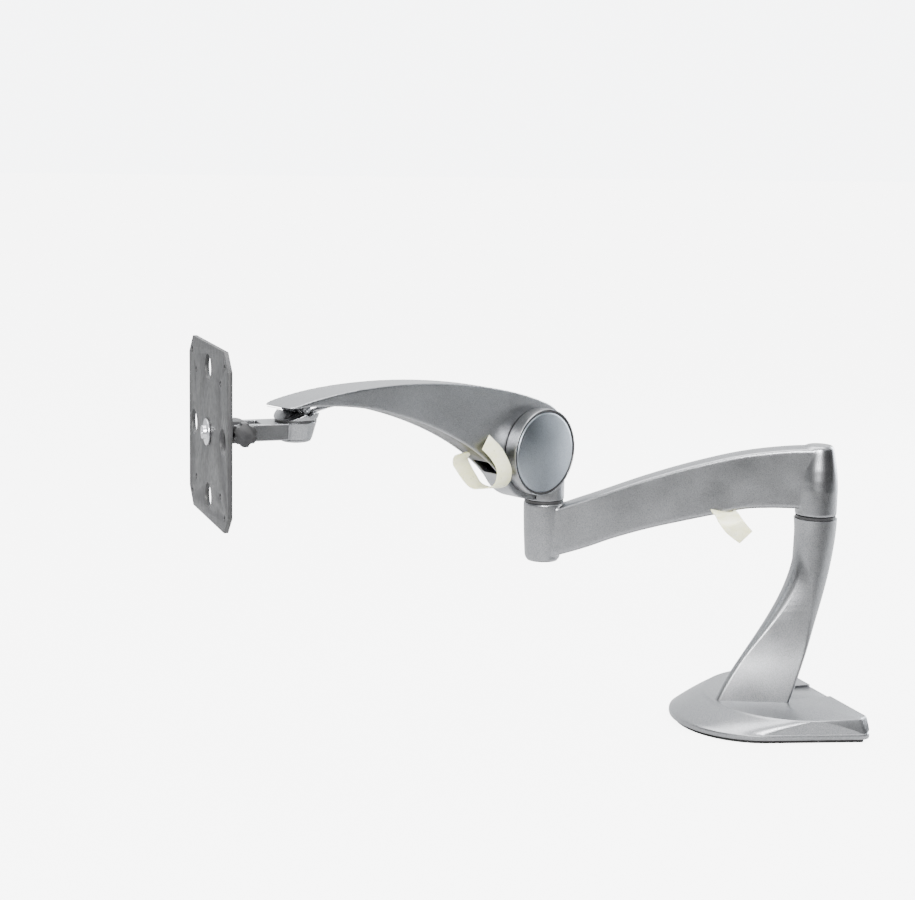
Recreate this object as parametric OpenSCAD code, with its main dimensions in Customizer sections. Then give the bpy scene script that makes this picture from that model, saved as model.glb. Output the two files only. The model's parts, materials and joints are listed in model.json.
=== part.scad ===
// Two-link desk monitor arm: base and curved column, lower arm, elbow, sprung upper arm and tilting head.
// Origin: on the desk, under the axis of the column. +Z is up and the nose of the base points to -Y.

/* [Base] */
// Radius of the rounded nose of the base
nose_r = 62; // [58:1:66]
// Distance from the column axis to the centre of the nose round
nose_back = 48; // [44:1:52]
// Half width of the base at its rear edge
rear_half_w = 77; // [72:1:82]
// Distance from the column axis to the rear edge
rear_y = 13; // [11:1:16]
// Thickness of the rubber pad
pad_t = 1.5; // [1:0.25:2.5]
// Thickness of the steel bottom plate
plate_bottom_t = 1.5; // [1:0.25:2.5]
// Height of the base casting's top at the foot of the column
base_top = 18; // [17:0.5:20]
// Width of the pocket for the rear cover
pocket_w = 31; // [28:1:34]

/* [Column and lower arm] */
// Height of the top of the column
column_top = 155.8; // [150:0.2:165]
// Radius of the column neck and of the pivot posts
post_r = 15.8; // [15.5:0.1:16.4]
// Radius of the two pivot shafts
shaft_r = 8; // [7:0.5:8.5]
// Distance between the column axis and the elbow axis
lower_len = 209; // [200:1:220]
// Plan angle of the lower arm from straight ahead
lower_yaw = -30.5; // [-60:0.5:60]
// Thickness of the lower arm
lower_w = 23; // [21:0.5:25]

/* [Upper arm] */
// Plan angle of the upper arm from straight ahead
upper_yaw = 25; // [-60:0.5:60]
// Forward distance from the elbow axis to the lift axle
hub_x = 17.4; // [16:0.1:19]
// Height of the lift axle above the top of the elbow ring
hub_rise = 40.4; // [40:0.1:44]
// Radius of the round eye of the upper arm
eye_r = 38; // [36:0.5:39]
// Radius of the hub drum
drum_r = 33.5; // [32:0.5:34.5]
// Forward distance from the lift axle to the tip pin
reach_x = 230.6; // [215:0.1:235]
// Height from the lift axle to the tip pin
reach_z = 53.3; // [50:0.1:60]
// Thickness of the upper arm at its eye
eye_w = 22; // [21:0.5:23]
// Width of the upper arm at its tip
tip_w = 32; // [30:0.5:34]
// Wall of the upper arm shell
wall = 3; // [2.5:0.25:3.5]

/* [Head] */
// Forward distance from the swivel axis to the tilt axis
tilt_x = 40; // [38:1:46]
// Side of the square mounting plate
plate_w = 120; // [116:1:124]
// Thickness of the mounting plate
plate_t = 3; // [2.5:0.5:4]
// Radius of the screw holes in the mounting plate
plate_hole_r = 2.25; // [2.2:0.05:2.5]

/* [Hidden] */
$fn = 64;
part_gap = 0.3;
run_fit = 0.05;
ring_t = 2.3;
silver = [0.66, 0.67, 0.68];
black = [0.04, 0.04, 0.045];
steel = [0.55, 0.56, 0.58];
bronze = [0.6, 0.45, 0.24];
cream = [0.9, 0.9, 0.74];

casting_z = pad_t + plate_bottom_t;
ring_seat = column_top + ring_t;
lower_bottom = ring_seat + part_gap;
elbow_seat = column_top + 0.4;
neck_bottom = elbow_seat + ring_t + part_gap;
hub_z = elbow_seat + ring_t + hub_rise;
post_bottom = 109.5;
bush_r = shaft_r + 2.5;
nut_space_r = 12;
elbow_bush_z = 118;
column_bush_z = 122;
cheek_in = 5.4;
cheek_out = 16.4;
arm_mid = 5 - eye_w / 2;
tip_x = hub_x + reach_x;
tip_z = hub_z + reach_z;
link_dx = -7;
link_dz = -4;
link_pin_r = 1;
tip_pin_r = 1.5;
axle_r = 6;
dome_r = 16.5;
ring_top = tip_z - 7;
collar_top = ring_top - 1.7;
collar_bottom = tip_z - 21.8;
tilt_z = tip_z - 14.3;
plate_x = tilt_x + 18;

// ---- helpers -----------------------------------------------------------------------------------

module on_lower_arm() rotate([0, 0, lower_yaw - 90]) children();
module at_elbow_axis() on_lower_arm() translate([lower_len, 0, 0]) children();
module at_elbow() at_elbow_axis() rotate([0, 0, upper_yaw - lower_yaw]) children();
module at_tip() at_elbow() translate([tip_x, arm_mid, 0]) rotate([0, 0, -upper_yaw]) children();

// A cylinder that runs along Y, between two places
module y_rod(x, z, y0, y1, r) {
  translate([x, y1, z]) rotate([90, 0, 0]) cylinder(h = y1 - y0, r = r);
}
module x_rod(y, z, x0, x1, r) {
  translate([x0, y, z]) rotate([0, 90, 0]) cylinder(h = x1 - x0, r = r);
}
module tube(z0, z1, r_out, r_in) {
  translate([0, 0, z0]) difference() {
    cylinder(h = z1 - z0, r = r_out);
    translate([0, 0, -1]) cylinder(h = z1 - z0 + 2, r = r_in);
  }
}

function bezier(p, t) = let (s = 1 - t)
  s * s * s * p[0] + 3 * s * s * t * p[1] + 3 * s * t * t * p[2] + t * t * t * p[3];
function bezier_line(p, n) = [for (i = [0 : n]) bezier(p, i / n)];

// Outline of the hull of some circles [x, y, r]: the point that lies furthest in direction a
function reach(c, a) = c[0] * cos(a) + c[1] * sin(a) + c[2];
function furthest(cs, a, i = 0, best = 0) =
  i == len(cs) ? cs[best] : furthest(cs, a, i + 1, reach(cs[i], a) > reach(cs[best], a) ? i : best);
function hull_outline(cs, n) = [for (i = [0 : n - 1]) let (a = 360 * (i + 0.5) / n, c = furthest(cs, a))
  [c[0] + c[2] * cos(a), c[1] + c[2] * sin(a)]];

// A closed solid through rings of points that all have the same count
module loft(rings) {
  n = len(rings[0]);
  m = len(rings);
  polyhedron(
    points = [for (r = rings) each r],
    faces = concat(
      [[for (i = [0 : n - 1]) i]],
      [for (j = [0 : m - 2]) for (i = [0 : n - 1]) [j * n + i, (j + 1) * n + i, (j + 1) * n + (i + 1) % n]],
      [for (j = [0 : m - 2]) for (i = [0 : n - 1]) [j * n + i, (j + 1) * n + (i + 1) % n, j * n + (i + 1) % n]],
      [[for (i = [n - 1 : -1 : 0]) (m - 1) * n + i]]));
}

// Smooth curve through hand-placed points
function spline(p, i, t) = let (a = p[max(i - 1, 0)], b = p[i], c = p[i + 1], d = p[min(i + 2, len(p) - 1)])
  0.5 * (2 * b + (c - a) * t + (2 * a - 5 * b + 4 * c - d) * t * t + (3 * b - a - 3 * c + d) * t * t * t);
function spline_line(p, n) = [
  for (i = [0 : len(p) - 2]) for (k = [0 : n - 1]) spline(p, i, k / n),
  p[len(p) - 1]];
function unit(v) = v / norm(v);

// A flat strip bent along a line, its width lying towards side
module strip(line, w, t, side) {
  last = len(line) - 1;
  loft([for (i = [0 : last]) let (
      along = unit(line[min(i + 1, last)] - line[max(i - 1, 0)]),
      across = unit(side - (side * along) * along) * w / 2,
      up = cross(along, unit(across)) * t / 2)
    [line[i] - across - up, line[i] - across + up, line[i] + across + up, line[i] + across - up]]);
}

// ---- base --------------------------------------------------------------------------------------

function base_circles(grow) = [
  [0, -nose_back, nose_r + grow],
  [rear_half_w - 7, rear_y - 7, 7 + grow],
  [-rear_half_w + 7, rear_y - 7, 7 + grow]];
function ridge_circles(grow) = [
  [0, -11, 70 + grow],
  [rear_half_w - 12, rear_y - 10, 7 + grow],
  [-rear_half_w + 12, rear_y - 10, 7 + grow]];
function lift_ring(ring, z) = [for (p = ring) [p[0], p[1], z]];

foot_front = 78;
foot_rear = 26;
// Front and rear edges of the column in its middle plane, as curves of [y, z]
front_curve = [[-foot_front, base_top], [-60, 60], [-4.2, 97], [-post_r - 0.6, column_top]];
rear_curve = [[-foot_rear, base_top], [-8.6, 65], [13.3, 107], [post_r + 0.6, column_top]];
function curve_y(c, z, lo = 0, hi = 1, k = 0) = let (m = (lo + hi) / 2, p = bezier(c, m))
  k == 24 ? p[0] : p[1] < z ? curve_y(c, z, m, hi, k + 1) : curve_y(c, z, lo, m, k + 1);
function ease(x) = let (c = min(max(x, 0), 1)) c * c * (3 - 2 * c);
// Section of the column at a height: a narrow front, a wide rear, and a round neck
function column_circles(z) = let (
    k = ease((z - 76) / 50),
    yf = curve_y(front_curve, z),
    yr = curve_y(rear_curve, z),
    half = (yr - yf) / 2,
    wr = 22 - 5.6 * ease((z - base_top) / 65),
    rf = 3.6 + (half - 3.6) * k,
    rr = min(2.5 + (half - 2.5) * ease((z - 62) / 58), wr))
  [[0, yf + rf, rf], [wr - rr, yr - rr, rr], [rr - wr, yr - rr, rr]];
foot_outline = hull_outline(column_circles(base_top), 48);

module base_casting() {
  n = 48;
  ridge = hull_outline(ridge_circles(0), n);
  rim = hull_outline(base_circles(0), n);
  color(silver) difference() {
    loft([
      lift_ring(hull_outline(base_circles(-1.2), n), casting_z),
      lift_ring(rim, casting_z + 1.4),
      lift_ring(rim, casting_z + 3),
      lift_ring(hull_outline(base_circles(-1), n), casting_z + 4.6),
      lift_ring(ridge, base_top - 0.7),
      lift_ring(hull_outline(ridge_circles(-1.3), n), base_top)]);
    translate([-pocket_w / 2, -22, casting_z + 4]) cube([pocket_w, 90, 30]);
    translate([-100, rear_y - 0.4, 0]) cube([200, 100, 40]);
    translate([0, -11, 0]) cylinder(h = 20, r = 5.25);
    for (y = [-62, -42]) translate([0, y, 0]) {
      cylinder(h = 30, r = 3);
      cylinder(h = casting_z + 4, r = 5.2);
    }
    for (x = [-48, 48], y = [-60, -4]) translate([x, y, 0]) cylinder(h = 11, r = 1.8);
  }
}

module base_plate() {
  color(black) difference() {
    translate([0, 0, pad_t]) linear_extrude(plate_bottom_t) polygon(hull_outline(base_circles(-4), 48));
    translate([0, -11, 0]) cylinder(h = 20, r = 5.25);
    for (x = [-48, 48], y = [-60, -4]) translate([x, y, 0]) cylinder(h = 20, r = 3.6);
  }
}

module base_plate_screws() {
  color(steel) for (x = [-48, 48], y = [-60, -4]) translate([x, y, pad_t]) {
    cylinder(h = plate_bottom_t, r = 3.6);
    translate([0, 0, plate_bottom_t]) cylinder(h = 6, r = 1.8);
  }
}

module base_pad() {
  color(black) difference() {
    linear_extrude(pad_t) polygon(hull_outline(base_circles(-4), 48));
    translate([0, -11, -1]) cylinder(h = 20, r = 8);
  }
}

module rear_cover() {
  w = pocket_w / 2 - 0.6;
  color(silver) difference() {
    translate([0, 0, casting_z + 4]) linear_extrude(base_top - casting_z - 5.2)
      polygon([[-w, -21], [w, -21], [w, rear_y - 1.6], [w - 1, rear_y - 0.6],
        [-w + 1, rear_y - 0.6], [-w, rear_y - 1.6]]);
    translate([-w + 2, -19, 0]) cube([2 * w - 4, rear_y + 16, base_top - 3.4]);
    translate([0, 0, casting_z - 5]) linear_extrude(30) polygon(foot_outline);
  }
}

module column_casting() {
  count = 15;
  color(silver) difference() {
    loft([for (i = [0 : count]) let (z = base_top + (column_top - base_top) * i / count)
      lift_ring(hull_outline(column_circles(z), 48), z)]);
    translate([0, 0, column_bush_z]) cylinder(h = 60, r = bush_r);
    translate([0, 0, 140]) rotate([-90, 0, 0]) cylinder(h = 30, r = 2.5);
    for (y = [-62, -42]) translate([0, y, 0]) cylinder(h = 28, r = 3);
  }
}

module column_bolts() {
  color(steel) for (y = [-62, -42]) translate([0, y, 0]) {
    translate([0, 0, casting_z + 0.2]) cylinder(h = 3.8, r = 5);
    translate([0, 0, casting_z + 4]) cylinder(h = 20.6, r = 3);
  }
}

module column_bush() {
  color(bronze) tube(column_bush_z, column_top, bush_r, shaft_r + run_fit);
}

module column_ring() {
  color(black) tube(column_top, ring_seat, post_r, shaft_r + 0.4);
}

module column_set_screw() {
  color(steel) translate([0, bush_r, 140]) rotate([-90, 0, 0]) difference() {
    cylinder(h = 5, r = 2.5);
    translate([0, 0, 3]) cylinder(h = 3, r = 1.3, $fn = 6);
  }
}

// ---- lower arm ---------------------------------------------------------------------------------

lower_top_curve = [[-9, 212], [50, 214], [lower_len - 76, 182], [lower_len - 15, 157.5]];
lower_bottom_curve = [[8, 163.6], [84, 161.5], [lower_len - 75, 139.5], [lower_len - 9, 115]];
shaft_top = 196;

module lower_arm_casting() {
  outline = concat(bezier_line(lower_top_curve, 14), [[lower_len, elbow_seat - 2], [lower_len, 113.5]],
    [for (i = [14 : -1 : 0]) bezier(lower_bottom_curve, i / 14)]);
  color(silver) on_lower_arm() difference() {
    union() {
      translate([0, lower_w / 2, 0]) rotate([90, 0, 0]) linear_extrude(lower_w) polygon(outline);
      rotate_extrude() polygon([[0, lower_bottom], [post_r, lower_bottom], [post_r, 180], [13.4, 201],
        [11.6, 211.4], [10.6, 212.2], [0, 212.2]]);
      translate([lower_len, 0, 0]) rotate_extrude() polygon([[0, post_bottom], [10.5, post_bottom],
        [13.3, post_bottom + 1.4], [14.5, post_bottom + 4.5], [15.2, 132], [post_r, elbow_seat], [0, elbow_seat]]);
    }
    translate([0, 0, lower_bottom - 1]) cylinder(h = shaft_top - lower_bottom + 1, r = shaft_r);
    translate([lower_len, 0, 0]) {
      translate([0, 0, elbow_seat]) cylinder(h = 60, r = post_r + 0.5);
      translate([0, 0, post_bottom - 1]) cylinder(h = elbow_bush_z - post_bottom + 1, r = nut_space_r);
      cylinder(h = 200, r = bush_r);
    }
  }
}

module column_shaft() {
  color(steel) translate([0, 0, column_bush_z + 2]) cylinder(h = shaft_top - column_bush_z - 2, r = shaft_r);
}

module lower_strap() {
  path = [[70, 7, 158.5], [69, 11, 158], [66, 14.5, 156], [61, 17, 150], [55, 16.5, 143.5], [50, 15, 138.5]];
  color(cream) on_lower_arm() difference() {
    strip(spline_line(path, 4), 17, 1.2, [1, 0.1, 0.12]);
    translate([0, lower_w / 2, 0]) rotate([90, 0, 0]) linear_extrude(lower_w) polygon(concat(
      [[0, 230], [lower_len, 230]], [for (i = [14 : -1 : 0]) bezier(lower_bottom_curve, i / 14)]));
  }
}

module elbow_bush() {
  color(bronze) at_elbow_axis() tube(elbow_bush_z, elbow_seat, bush_r, shaft_r + run_fit);
}

module elbow_ring() {
  color(black) at_elbow_axis() tube(elbow_seat, elbow_seat + ring_t, post_r, shaft_r + 0.4);
}

module elbow_plug() {
  color(black) at_elbow_axis() translate([0, 0, post_bottom + 0.2]) difference() {
    cylinder(h = 2.4, r = nut_space_r);
    translate([0, 0, -1]) cylinder(h = 2, r = 3);
  }
}

// ---- hub ---------------------------------------------------------------------------------------

screw_r = 2.5;
shaft_end = elbow_bush_z - 0.4;

module elbow_shaft() {
  color(steel) at_elbow() difference() {
    translate([0, 0, shaft_end]) cylinder(h = neck_bottom - shaft_end, r = shaft_r);
    translate([0, 0, shaft_end - 1]) cylinder(h = 19, r = screw_r);
  }
}

module elbow_washer() {
  color(steel) at_elbow() tube(shaft_end - 1.6, shaft_end, 11.2, screw_r);
}

module elbow_screw() {
  color(steel) at_elbow() {
    translate([0, 0, shaft_end - 4.2]) difference() {
      cylinder(h = 2.6, r = 4.2);
      translate([0, 0, -1]) cylinder(h = 2.4, r = 1.8, $fn = 6);
    }
    translate([0, 0, shaft_end - 1.6]) cylinder(h = 17, r = screw_r);
  }
}

module hub_knuckle() {
  color(silver) at_elbow() difference() {
    union() {
      difference() {
        translate([0, 0, neck_bottom]) cylinder(h = 25, r = post_r);
        y_rod(hub_x, hub_z, -40, cheek_in - 0.1, eye_r + 0.5);
      }
      difference() {
        translate([-post_r + 0.3, cheek_in, neck_bottom + 8]) cube([50, cheek_out - cheek_in - 3, 32]);
        translate([hub_x, 0, hub_z]) rotate([0, 42, 0]) translate([-10, 0, -100]) cube([60, 40, 100]);
        difference() {
          translate([-40, 0, neck_bottom]) cube([100, 40, 60]);
          translate([0, 0, neck_bottom]) cylinder(h = 50, r = post_r - 0.1);
          y_rod(hub_x, hub_z, 0, 40, drum_r - 0.1);
        }
      }
      y_rod(hub_x, hub_z, cheek_in, cheek_out, drum_r);
    }
    y_rod(hub_x, hub_z, 13.2, 30, drum_r - 1.3);
    y_rod(hub_x, hub_z, 0, 30, axle_r);
  }
}

module hub_axle() {
  color(steel) at_elbow() y_rod(hub_x, hub_z, -22, 13, axle_r);
}

module hub_cap() {
  r = drum_r - 2.3;
  color(silver) at_elbow() translate([hub_x, 13.2, hub_z]) rotate([-90, 0, 0]) rotate_extrude()
    polygon(concat([[0, 0], [r, 0], [r, 2.6]],
      [for (i = [7 : -1 : 0]) [(r - 0.8) * i / 8, 5.6 - 2.4 * (i / 8) * (i / 8)]]));
}

module hub_cap_seal() {
  color(black) at_elbow() translate([hub_x, 13.2, hub_z]) rotate([-90, 0, 0]) difference() {
    cylinder(h = 1.6, r = drum_r - 1.3);
    translate([0, 0, -1]) cylinder(h = 4, r = drum_r - 2.3);
  }
}

// Fixed lever on the axle that carries the rear pin of the levelling link
module hub_crank() {
  color(steel) at_elbow() difference() {
    hull() {
      y_rod(hub_x, hub_z, -1.1, 1.4, 9.5, $fn = 32);
      y_rod(hub_x + link_dx, hub_z + link_dz, -1.1, 1.4, 3.6, $fn = 32);
    }
    y_rod(hub_x, hub_z, -2, 2, axle_r);
    y_rod(hub_x + link_dx, hub_z + link_dz, -2, 2, link_pin_r);
  }
}

module hub_nut() {
  color(steel) at_elbow() difference() {
    union() {
      y_rod(hub_x, hub_z, -19, -17.4, 11);
      translate([hub_x, -19, hub_z]) rotate([90, 0, 0]) cylinder(h = 3, r = 9.2, $fn = 6);
    }
    y_rod(hub_x, hub_z, -30, -10, axle_r);
  }
}

// Torsion spring wound on the axle: it carries the weight of the monitor
module lift_spring() {
  turns = 3;
  per_turn = 20;
  wire = 1.05;
  coil_r = 12.2;
  pitch = 2.3;
  steps = turns * per_turn;
  color(steel) at_elbow() translate([hub_x, -13.6, hub_z]) loft([for (i = [0 : steps]) let (
      a = 360 * i / per_turn,
      y = wire + pitch * i / per_turn)
    [for (k = [0 : 7]) let (b = -45 * k, r = coil_r + wire * cos(b))
      [r * cos(a), y + wire * sin(b), r * sin(a)]]]);
}

// ---- upper arm ---------------------------------------------------------------------------------

eye_top_a = 112;
eye_low_a = -38;
function on_eye(a, r) = [hub_x + r * cos(a), hub_z + r * sin(a)];
upper_top_curve = [on_eye(eye_top_a, eye_r), [hub_x + 50.6, hub_z + 61.4], [tip_x - 54, tip_z + 20.7],
  [tip_x + 20, tip_z + 1.8]];
upper_low_curve = [on_eye(eye_low_a, eye_r), [hub_x + 51.6, hub_z + 8.6], [tip_x - 84, tip_z + 2.2],
  [tip_x + 8, tip_z + 2.3]];
curve_n = 22;
function moved(line, d) = [for (p = line) p + d];
top_line = bezier_line(upper_top_curve, curve_n);
low_line = bezier_line(upper_low_curve, curve_n);
function reversed(line) = [for (i = [len(line) - 1 : -1 : 0]) line[i]];

// Outline of the upper arm seen from above, inset by d
module upper_plan(d) {
  e = eye_w / 2 - d;
  t = tip_w / 2 - d;
  end_x = tip_x + 20 - d;
  round_r = 12;
  cx = end_x - round_r;
  cy = t - round_r;
  translate([0, arm_mid]) polygon(concat(
    [[-60, -e], [hub_x + 30, -e], [tip_x - 20, -t]],
    [for (i = [0 : 8]) let (a = -90 + 11.25 * i) [cx + round_r * cos(a), round_r * sin(a) - cy]],
    [for (i = [0 : 8]) let (a = 11.25 * i) [cx + round_r * cos(a), round_r * sin(a) + cy]],
    [[tip_x - 20, t], [hub_x + 30, e], [-60, e]]));
}

// A side outline turned upright and given a thickness that covers the whole arm
module side_plate() {
  translate([0, 60, 0]) rotate([90, 0, 0]) linear_extrude(120) children();
}

module upper_arm_shell() {
  color(silver) at_elbow() difference() {
    union() {
      difference() {
        intersection() {
          side_plate() union() {
            translate([hub_x, hub_z]) circle(r = eye_r);
            polygon(concat([[hub_x, hub_z]], top_line, reversed(low_line)));
          }
          linear_extrude(400) upper_plan(0);
        }
        intersection() {
          side_plate() union() {
            translate([hub_x, hub_z]) circle(r = eye_r - wall);
            polygon(concat([[hub_x, hub_z]], moved(top_line, [-wall, -wall - 0.4]),
              [[tip_x + 17, tip_z - 30]],
              moved(reversed([for (i = [3 : curve_n]) low_line[i]]), [wall, -8])));
          }
          linear_extrude(400) upper_plan(wall);
        }
      }
      for (s = [-1, 1]) {
        y_rod(tip_x, tip_z, arm_mid + s * 10.6 - 1.6, arm_mid + s * 10.6 + 1.6, 3.6);
        translate([tip_x - 3.6, arm_mid + s * 10.6 - 1.6, tip_z]) cube([7.2, 3.2, 5]);
      }
    }
    y_rod(hub_x, hub_z, -40, 40, axle_r + 2);
    y_rod(tip_x, tip_z, arm_mid - 8.9, arm_mid + 8.9, 3.4);
    y_rod(tip_x, tip_z, arm_mid - 12.4, arm_mid + 12.4, tip_pin_r);
  }
}

module upper_arm_bushes() {
  color(bronze) at_elbow() for (y = [5 - wall, 5 - eye_w]) difference() {
    y_rod(hub_x, hub_z, y, y + wall, axle_r + 2);
    y_rod(hub_x, hub_z, y - 1, y + wall + 1, axle_r + run_fit);
  }
}

// Cover that closes the open underside of the shell between the eye and the thin tip
module upper_arm_underside() {
  part = [for (i = [4 : 14]) low_line[i]];
  color(black) at_elbow() intersection() {
    side_plate() polygon(concat(moved(part, [0, 0.6]), moved(reversed(part), [-0.6, 2.6])));
    linear_extrude(400) upper_plan(wall + 0.1);
  }
}

module hub_cover_far() {
  color(silver) at_elbow() translate([hub_x, 5 - eye_w, hub_z]) rotate([90, 0, 0]) rotate_extrude()
    polygon([[0, 6.8], [13, 6.8], [13, 0], [31, 0], [31, 2.4], [29.6, 4.6], [24, 6.4], [14, 7.6], [0, 8.2]]);
}

module upper_strap() {
  path = [[81, -9, 203], [77, -15, 193], [66, -9, 176], [58, 6, 176], [60, 13.6, 188], [65, 11.5, 201],
    [75, 8, 212]];
  color(cream) at_elbow() difference() {
    strip(spline_line(path, 5), 15, 1.1, [1, 0, 0.1]);
    rotate([90, 0, 0]) linear_extrude(60)
      polygon(concat(moved(low_line, [0, 0.5]), [[tip_x, 300], [hub_x + 30, 300]]));
  }
}

module tip_pin() {
  color(steel) at_elbow() y_rod(tip_x, tip_z, arm_mid - 12.4, arm_mid + 12.4, tip_pin_r);
}

// ---- levelling link ----------------------------------------------------------------------------

link_y = -3.9;
link_path = [[hub_x + link_dx, hub_z + link_dz], [hub_x - 4, hub_z - 9.5], [hub_x + 6, hub_z - 10.5],
  [60, hub_z + 9.5], [100, hub_z + 28.5], [140, hub_z + 43], [180, hub_z + 51.5], [214, hub_z + 53.5],
  [tip_x + link_dx, tip_z + link_dz]];
link_ends = [link_path[0], link_path[8]];

module level_link() {
  line = spline_line(link_path, 4);
  half = 1.4;
  last = len(line) - 1;
  side = [for (i = [0 : last]) let (d = unit(line[min(i + 1, last)] - line[max(i - 1, 0)])) half * [-d[1], d[0]]];
  color(steel) at_elbow() difference() {
    union() {
      translate([0, link_y + 2.6, 0]) rotate([90, 0, 0]) linear_extrude(2.6)
        polygon(concat([for (i = [0 : last]) line[i] + side[i]], [for (i = [last : -1 : 0]) line[i] - side[i]]));
      for (p = link_ends) y_rod(p[0], p[1], link_y, link_y + 2.6, 2);
    }
    for (p = link_ends) y_rod(p[0], p[1], link_y - 1, link_y + 4, link_pin_r + run_fit);
  }
}

// Rear pin of the link, fixed in the crank
module link_rear_pin() {
  color(steel) at_elbow() y_rod(hub_x + link_dx, hub_z + link_dz, link_y - 0.4, 1.4, link_pin_r);
}

// Front pin of the link, fixed in the lug of the tip knuckle
module link_front_pin() {
  color(steel) at_elbow() y_rod(tip_x + link_dx, tip_z + link_dz, arm_mid - 3, arm_mid + 8, link_pin_r);
}

// ---- tip and head ------------------------------------------------------------------------------

module tip_knuckle() {
  pin_x = tip_x + link_dx;
  pin_z = tip_z + link_dz;
  color(silver) at_elbow() difference() {
    union() {
      difference() {
        translate([tip_x, arm_mid, tip_z]) sphere(r = dome_r);
        translate([tip_x - 40, arm_mid - 40, tip_z + 1]) cube([80, 80, 60]);
        translate([tip_x - 40, arm_mid - 40, ring_top - 60]) cube([80, 80, 60]);
        translate([tip_x, 0, tip_z]) rotate([0, 27, 0]) translate([0, -60, -0.4]) cube([80, 120, 60]);
        translate([tip_x, 0, tip_z]) rotate([0, -13, 0]) translate([-80, -60, -0.4]) cube([80, 120, 60]);
        for (s = [-1, 1]) y_rod(tip_x, tip_z, arm_mid + s * 18.6 - 10, arm_mid + s * 18.6 + 10, 4.1);
      }
      y_rod(tip_x, tip_z, arm_mid - 8.6, arm_mid + 8.6, 3);
      y_rod(pin_x, pin_z, arm_mid - 5, arm_mid + 9, 2.3);
    }
    y_rod(tip_x, tip_z, -40, 40, tip_pin_r + run_fit);
    y_rod(pin_x, pin_z, arm_mid - 3, arm_mid + 8, link_pin_r);
    translate([tip_x - 40, link_y - 0.5, ring_top + 0.7]) cube([80, 3.6, 40]);
  }
}

module tip_ring() {
  color(black) at_tip() tube(collar_top + part_gap, ring_top, dome_r - 2, 5);
}

module swivel_shaft() {
  color(steel) at_tip() translate([0, 0, collar_bottom + 3]) cylinder(h = ring_top - collar_bottom - 3, r = 5);
}

module swivel_bush() {
  color(bronze) at_tip() tube(collar_bottom + 3.3, collar_top, 7, 5 + run_fit);
}

module collar_nut() {
  color(steel) at_tip() translate([0, 0, collar_bottom + 1.6]) cylinder(h = 1.4, r = 7.4);
}

module collar_cap() {
  color(silver) at_tip() rotate_extrude() polygon([[0, collar_bottom - 1], [9, collar_bottom - 1],
    [10.4, collar_bottom - 0.4], [11, collar_bottom + 1], [8.4, collar_bottom + 1], [8.4, collar_bottom + 0.6],
    [0, collar_bottom + 0.6]]);
}

module swivel_collar() {
  color(silver) at_tip() difference() {
    union() {
      rotate_extrude() polygon([[0, collar_bottom + 1], [11.2, collar_bottom + 1],
        [14.6, collar_top], [0, collar_top]]);
      translate([8, -12, tilt_z - 6]) cube([18, 24, 12]);
      for (s = [-1, 1]) {
        translate([22, s * 10 - 2, tilt_z - 6]) cube([tilt_x - 22, 4, 12]);
        y_rod(tilt_x, tilt_z, s * 10 - 2, s * 10 + 2, 8);
      }
    }
    translate([0, 0, collar_bottom]) cylinder(h = 60, r = 7);
    translate([0, 0, collar_bottom - 5]) cylinder(h = 8.3, r = 8.4);
    y_rod(tilt_x, tilt_z, -20, 20, 3);
    translate([-1, -30, collar_top + 0.01]) cube([60, 60, 20]);
  }
}

module tilt_bolt() {
  color(steel) at_tip() {
    y_rod(tilt_x, tilt_z, -14, 18.6, 3);
    translate([tilt_x, -14, tilt_z]) rotate([90, 0, 0]) cylinder(h = 4, r = 5.5, $fn = 6);
  }
}

module tilt_knob() {
  color(black) at_tip() translate([tilt_x, 13.6, tilt_z]) rotate([-90, 0, 0]) difference() {
    cylinder(h = 7, r = 8.2);
    for (a = [0 : 60 : 300]) rotate([0, 0, a]) translate([9.6, 0, -1]) cylinder(h = 20, r = 2.6);
    translate([0, 0, -1]) cylinder(h = 6, r = 3);
  }
}

module tilt_washers() {
  color(steel) at_tip() for (y = [-14, 12]) difference() {
    y_rod(tilt_x, tilt_z, y, y + 1.6, 7);
    y_rod(tilt_x, tilt_z, y - 1, y + 3, 3);
  }
}

module tilt_block() {
  color(black) at_tip() difference() {
    union() {
      y_rod(tilt_x, tilt_z, -7.7, 7.7, 7.6);
      translate([tilt_x, -7.7, tilt_z - 7.6]) cube([9, 15.4, 15.2]);
      x_rod(0, tilt_z, tilt_x + 8.6, tilt_x + 14, 17);
    }
    y_rod(tilt_x, tilt_z, -20, 20, 3 + run_fit);
    x_rod(0, tilt_z, tilt_x + 9.5, tilt_x + 30, 5);
  }
}

// Stub that the mounting plate turns on, with its flange behind the plate
module turn_spigot() {
  color(steel) at_tip() difference() {
    x_rod(0, tilt_z, tilt_x + 9.5, plate_x + plate_t + 0.1, 5);
    x_rod(0, tilt_z, tilt_x + 12, plate_x + 20, 2.5);
  }
}

module turn_washer() {
  color(black) at_tip() difference() {
    x_rod(0, tilt_z, tilt_x + 14, plate_x - 0.3, 15);
    x_rod(0, tilt_z, tilt_x, plate_x + 10, 5);
  }
}

module turn_screw() {
  color(steel) at_tip() {
    x_rod(0, tilt_z, plate_x + plate_t + 0.1, plate_x + plate_t + 1.7, 9);
    difference() {
      x_rod(0, tilt_z, plate_x + plate_t + 1.7, plate_x + plate_t + 4.2, 4.6);
      translate([plate_x + plate_t + 3, 0, tilt_z]) rotate([0, 90, 0]) cylinder(h = 6, r = 1.7, $fn = 6);
    }
    x_rod(0, tilt_z, tilt_x + 13, plate_x + plate_t + 0.1, 2.5);
  }
}

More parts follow.
